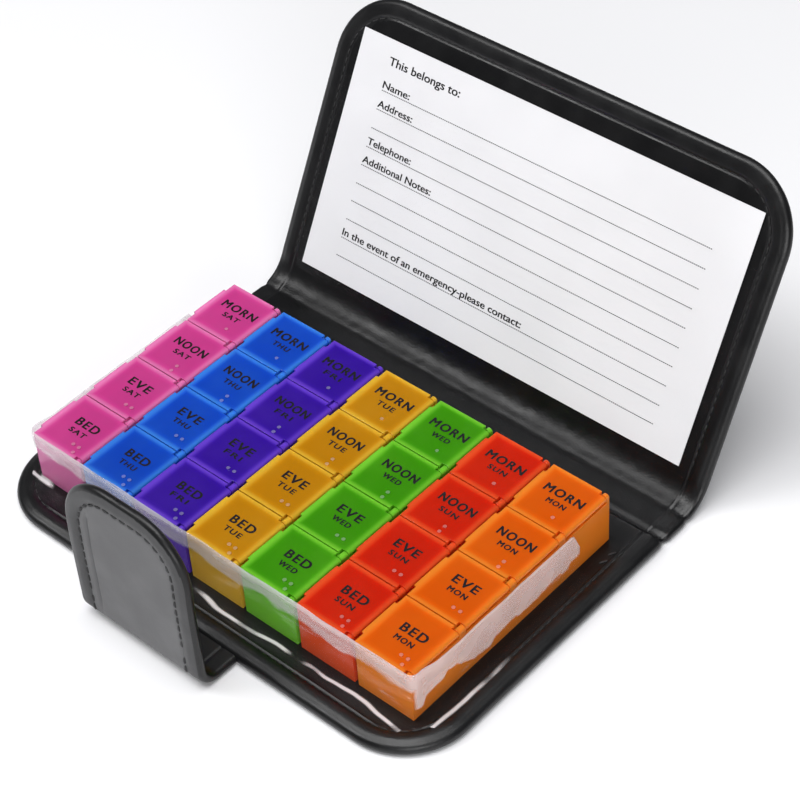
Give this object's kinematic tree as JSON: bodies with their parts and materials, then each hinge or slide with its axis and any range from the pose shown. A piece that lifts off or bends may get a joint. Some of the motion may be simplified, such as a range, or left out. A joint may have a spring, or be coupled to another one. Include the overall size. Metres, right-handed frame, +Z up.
{
  "type": "travel pill organizer",
  "caption": "Folding soft wallet case with lift-out translucent daily pill strips, hinged compartment lids, a clear film holder, a card pocket and a strap closure.",
  "frame": {"origin": "middle of the tray panel's underside, on the table", "axes": "+X along the row of strips from the first day to the last, +Y from the front edge to the spine, +Z up"},
  "size_m": [0.1914, 0.2112, 0.1025],
  "materials": {
    "outer_leather": "grained black imitation leather",
    "strap_leather": "grained black imitation leather with a soft sheen",
    "lining": "smooth black imitation leather",
    "board": "grey-brown board, hidden",
    "clear_film": "clear flexible film",
    "steel": "plain, hidden",
    "card": "matt white card",
    "tint_pink": "translucent pink",
    "tint_blue": "translucent blue",
    "tint_purple": "translucent purple",
    "tint_amber": "translucent amber",
    "tint_green": "translucent green",
    "tint_red": "translucent red",
    "tint_orange": "translucent orange"
  },
  "bodies": {
    "tray": {"tray_skin": "outer_leather", "tray_board": "board", "tray_lining": "lining", "tray_edge_band": "outer_leather", "strap_root": "strap_leather", "film_front": "clear_film", "film_left": "clear_film", "film_right": "clear_film"},
    "spine": {"spine_skin": "outer_leather", "spine_board": "board", "spine_lining": "lining"},
    "cover": {"cover_skin": "outer_leather", "cover_board": "board", "cover_lining": "lining", "cover_edge_band": "outer_leather", "cover_keeper": "steel", "card_pocket": "clear_film"},
    "card": {"info_card": "card"},
    "strap_low": {"strap_lower": "strap_leather"},
    "strap_mid": {"strap_front": "strap_leather"},
    "strap_end": {"strap_tip": "strap_leather", "strap_magnet": "steel"},
    "strip_sat": {"strip_sat": "tint_pink"},
    "lid_sat_bed": {"lid_sat_bed": "tint_pink"},
    "lid_sat_eve": {"lid_sat_eve": "tint_pink"},
    "lid_sat_noon": {"lid_sat_noon": "tint_pink"},
    "lid_sat_morn": {"lid_sat_morn": "tint_pink"},
    "strip_thu": {"strip_thu": "tint_blue"},
    "lid_thu_bed": {"lid_thu_bed": "tint_blue"},
    "lid_thu_eve": {"lid_thu_eve": "tint_blue"},
    "lid_thu_noon": {"lid_thu_noon": "tint_blue"},
    "lid_thu_morn": {"lid_thu_morn": "tint_blue"},
    "strip_fri": {"strip_fri": "tint_purple"},
    "lid_fri_bed": {"lid_fri_bed": "tint_purple"},
    "lid_fri_eve": {"lid_fri_eve": "tint_purple"},
    "lid_fri_noon": {"lid_fri_noon": "tint_purple"},
    "lid_fri_morn": {"lid_fri_morn": "tint_purple"},
    "strip_tue": {"strip_tue": "tint_amber"},
    "lid_tue_bed": {"lid_tue_bed": "tint_amber"},
    "lid_tue_eve": {"lid_tue_eve": "tint_amber"},
    "lid_tue_noon": {"lid_tue_noon": "tint_amber"},
    "lid_tue_morn": {"lid_tue_morn": "tint_amber"},
    "strip_wed": {"strip_wed": "tint_green"},
    "lid_wed_bed": {"lid_wed_bed": "tint_green"},
    "lid_wed_eve": {"lid_wed_eve": "tint_green"},
    "lid_wed_noon": {"lid_wed_noon": "tint_green"},
    "lid_wed_morn": {"lid_wed_morn": "tint_green"},
    "strip_sun": {"strip_sun": "tint_red"},
    "lid_sun_bed": {"lid_sun_bed": "tint_red"},
    "lid_sun_eve": {"lid_sun_eve": "tint_red"},
    "lid_sun_noon": {"lid_sun_noon": "tint_red"},
    "lid_sun_morn": {"lid_sun_morn": "tint_red"},
    "strip_mon": {"strip_mon": "tint_orange"},
    "lid_mon_bed": {"lid_mon_bed": "tint_orange"},
    "lid_mon_eve": {"lid_mon_eve": "tint_orange"},
    "lid_mon_noon": {"lid_mon_noon": "tint_orange"},
    "lid_mon_morn": {"lid_mon_morn": "tint_orange"}
  },
  "joints": [
    {"name": "spine_fold", "type": "hinge", "parent": "tray", "child": "spine", "pos_m": [0, 0.0581, 0.0013], "axis": [-1, 0, 0], "range_deg": [-90, 0]},
    {"name": "cover_fold", "type": "hinge", "parent": "spine", "child": "cover", "pos_m": [0, 0.0861, 0.0013], "axis": [-1, 0, 0], "range_deg": [-28, 62]},
    {"name": "card_slide", "type": "slide", "parent": "cover", "child": "card", "axis": [0, 0.4695, 0.8829], "range_m": [0, 0.03]},
    {"name": "strap_lift", "type": "hinge", "parent": "tray", "child": "strap_low", "pos_m": [-0.005, -0.0582, 0.0013], "axis": [1, 0, 0], "range_deg": [-90, 0]},
    {"name": "strap_bend", "type": "hinge", "parent": "strap_low", "child": "strap_mid", "pos_m": [-0.005, -0.0699, 0.0013], "axis": [1, 0, 0], "range_deg": [0, 90]},
    {"name": "strap_over", "type": "hinge", "parent": "strap_mid", "child": "strap_end", "pos_m": [-0.005, -0.0699, 0.0237], "axis": [1, 0, 0], "range_deg": [-90, 0]},
    {"name": "lift_sat", "type": "slide", "parent": "tray", "child": "strip_sat", "axis": [0, 0, 1], "range_m": [0, 0.03]},
    {"name": "open_sat_bed", "type": "hinge", "parent": "strip_sat", "child": "lid_sat_bed", "pos_m": [-0.0632, -0.0291, 0.0232], "axis": [0, 1, 0], "range_deg": [0, 105]},
    {"name": "open_sat_eve", "type": "hinge", "parent": "strip_sat", "child": "lid_sat_eve", "pos_m": [-0.0632, -0.0051, 0.0232], "axis": [0, 1, 0], "range_deg": [0, 105]},
    {"name": "open_sat_noon", "type": "hinge", "parent": "strip_sat", "child": "lid_sat_noon", "pos_m": [-0.0632, 0.0189, 0.0232], "axis": [0, 1, 0], "range_deg": [0, 105]},
    {"name": "open_sat_morn", "type": "hinge", "parent": "strip_sat", "child": "lid_sat_morn", "pos_m": [-0.0632, 0.0429, 0.0232], "axis": [0, 1, 0], "range_deg": [0, 105]},
    {"name": "lift_thu", "type": "slide", "parent": "tray", "child": "strip_thu", "axis": [0, 0, 1], "range_m": [0, 0.03]},
    {"name": "open_thu_bed", "type": "hinge", "parent": "strip_thu", "child": "lid_thu_bed", "pos_m": [-0.0392, -0.0291, 0.0232], "axis": [0, 1, 0], "range_deg": [0, 105]},
    {"name": "open_thu_eve", "type": "hinge", "parent": "strip_thu", "child": "lid_thu_eve", "pos_m": [-0.0392, -0.0051, 0.0232], "axis": [0, 1, 0], "range_deg": [0, 105]},
    {"name": "open_thu_noon", "type": "hinge", "parent": "strip_thu", "child": "lid_thu_noon", "pos_m": [-0.0392, 0.0189, 0.0232], "axis": [0, 1, 0], "range_deg": [0, 105]},
    {"name": "open_thu_morn", "type": "hinge", "parent": "strip_thu", "child": "lid_thu_morn", "pos_m": [-0.0392, 0.0429, 0.0232], "axis": [0, 1, 0], "range_deg": [0, 105]},
    {"name": "lift_fri", "type": "slide", "parent": "tray", "child": "strip_fri", "axis": [0, 0, 1], "range_m": [0, 0.03]},
    {"name": "open_fri_bed", "type": "hinge", "parent": "strip_fri", "child": "lid_fri_bed", "pos_m": [-0.0152, -0.0291, 0.0232], "axis": [0, 1, 0], "range_deg": [0, 105]},
    {"name": "open_fri_eve", "type": "hinge", "parent": "strip_fri", "child": "lid_fri_eve", "pos_m": [-0.0152, -0.0051, 0.0232], "axis": [0, 1, 0], "range_deg": [0, 105]},
    {"name": "open_fri_noon", "type": "hinge", "parent": "strip_fri", "child": "lid_fri_noon", "pos_m": [-0.0152, 0.0189, 0.0232], "axis": [0, 1, 0], "range_deg": [0, 105]},
    {"name": "open_fri_morn", "type": "hinge", "parent": "strip_fri", "child": "lid_fri_morn", "pos_m": [-0.0152, 0.0429, 0.0232], "axis": [0, 1, 0], "range_deg": [0, 105]},
    {"name": "lift_tue", "type": "slide", "parent": "tray", "child": "strip_tue", "axis": [0, 0, 1], "range_m": [0, 0.03]},
    {"name": "open_tue_bed", "type": "hinge", "parent": "strip_tue", "child": "lid_tue_bed", "pos_m": [0.0088, -0.0291, 0.0232], "axis": [0, 1, 0], "range_deg": [0, 105]},
    {"name": "open_tue_eve", "type": "hinge", "parent": "strip_tue", "child": "lid_tue_eve", "pos_m": [0.0088, -0.0051, 0.0232], "axis": [0, 1, 0], "range_deg": [0, 105]},
    {"name": "open_tue_noon", "type": "hinge", "parent": "strip_tue", "child": "lid_tue_noon", "pos_m": [0.0088, 0.0189, 0.0232], "axis": [0, 1, 0], "range_deg": [0, 105]},
    {"name": "open_tue_morn", "type": "hinge", "parent": "strip_tue", "child": "lid_tue_morn", "pos_m": [0.0088, 0.0429, 0.0232], "axis": [0, 1, 0], "range_deg": [0, 105]},
    {"name": "lift_wed", "type": "slide", "parent": "tray", "child": "strip_wed", "axis": [0, 0, 1], "range_m": [0, 0.03]},
    {"name": "open_wed_bed", "type": "hinge", "parent": "strip_wed", "child": "lid_wed_bed", "pos_m": [0.0328, -0.0291, 0.0232], "axis": [0, 1, 0], "range_deg": [0, 105]},
    {"name": "open_wed_eve", "type": "hinge", "parent": "strip_wed", "child": "lid_wed_eve", "pos_m": [0.0328, -0.0051, 0.0232], "axis": [0, 1, 0], "range_deg": [0, 105]},
    {"name": "open_wed_noon", "type": "hinge", "parent": "strip_wed", "child": "lid_wed_noon", "pos_m": [0.0328, 0.0189, 0.0232], "axis": [0, 1, 0], "range_deg": [0, 105]},
    {"name": "open_wed_morn", "type": "hinge", "parent": "strip_wed", "child": "lid_wed_morn", "pos_m": [0.0328, 0.0429, 0.0232], "axis": [0, 1, 0], "range_deg": [0, 105]},
    {"name": "lift_sun", "type": "slide", "parent": "tray", "child": "strip_sun", "axis": [0, 0, 1], "range_m": [0, 0.03]},
    {"name": "open_sun_bed", "type": "hinge", "parent": "strip_sun", "child": "lid_sun_bed", "pos_m": [0.0568, -0.0291, 0.0232], "axis": [0, 1, 0], "range_deg": [0, 105]},
    {"name": "open_sun_eve", "type": "hinge", "parent": "strip_sun", "child": "lid_sun_eve", "pos_m": [0.0568, -0.0051, 0.0232], "axis": [0, 1, 0], "range_deg": [0, 105]},
    {"name": "open_sun_noon", "type": "hinge", "parent": "strip_sun", "child": "lid_sun_noon", "pos_m": [0.0568, 0.0189, 0.0232], "axis": [0, 1, 0], "range_deg": [0, 105]},
    {"name": "open_sun_morn", "type": "hinge", "parent": "strip_sun", "child": "lid_sun_morn", "pos_m": [0.0568, 0.0429, 0.0232], "axis": [0, 1, 0], "range_deg": [0, 105]},
    {"name": "lift_mon", "type": "slide", "parent": "tray", "child": "strip_mon", "axis": [0, 0, 1], "range_m": [0, 0.03]},
    {"name": "open_mon_bed", "type": "hinge", "parent": "strip_mon", "child": "lid_mon_bed", "pos_m": [0.0808, -0.0291, 0.0232], "axis": [0, 1, 0], "range_deg": [0, 105]},
    {"name": "open_mon_eve", "type": "hinge", "parent": "strip_mon", "child": "lid_mon_eve", "pos_m": [0.0808, -0.0051, 0.0232], "axis": [0, 1, 0], "range_deg": [0, 105]},
    {"name": "open_mon_noon", "type": "hinge", "parent": "strip_mon", "child": "lid_mon_noon", "pos_m": [0.0808, 0.0189, 0.0232], "axis": [0, 1, 0], "range_deg": [0, 105]},
    {"name": "open_mon_morn", "type": "hinge", "parent": "strip_mon", "child": "lid_mon_morn", "pos_m": [0.0808, 0.0429, 0.0232], "axis": [0, 1, 0], "range_deg": [0, 105]}
  ],
  "couplings": [
    {"joint": "strap_bend", "follows": "strap_lift", "ratio": -1},
    {"joint": "strap_over", "follows": "strap_lift", "ratio": 1}
  ]
}
